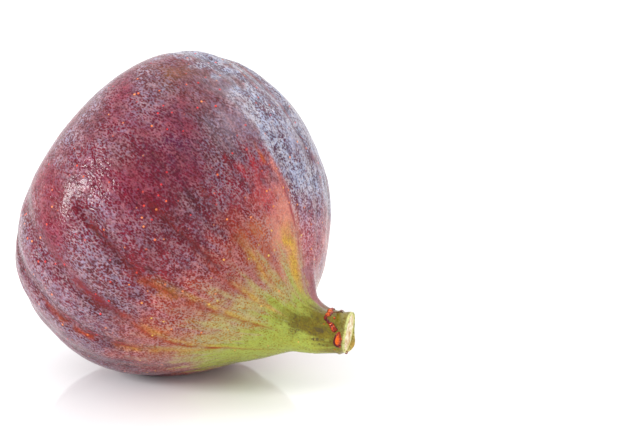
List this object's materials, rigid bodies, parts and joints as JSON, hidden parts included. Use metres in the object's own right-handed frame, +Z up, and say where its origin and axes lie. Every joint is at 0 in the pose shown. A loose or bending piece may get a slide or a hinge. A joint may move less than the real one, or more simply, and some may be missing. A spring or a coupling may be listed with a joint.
{
  "type": "fresh fig",
  "caption": "Whole fresh purple fig lying on its side, with a ribbed skin, a crooked neck and a short cut stalk.",
  "frame": {"origin": "on the surface the fig lies on, under the middle of its bounding box", "axes": "+X level, along the fig's axis seen from above, towards the stalk; +Z up from the surface"},
  "size_m": [0.0608, 0.0557, 0.0558],
  "materials": {
    "fig_skin": "satin"
  },
  "bodies": {
    "root": {"fig": "fig_skin"}
  },
  "joints": []
}
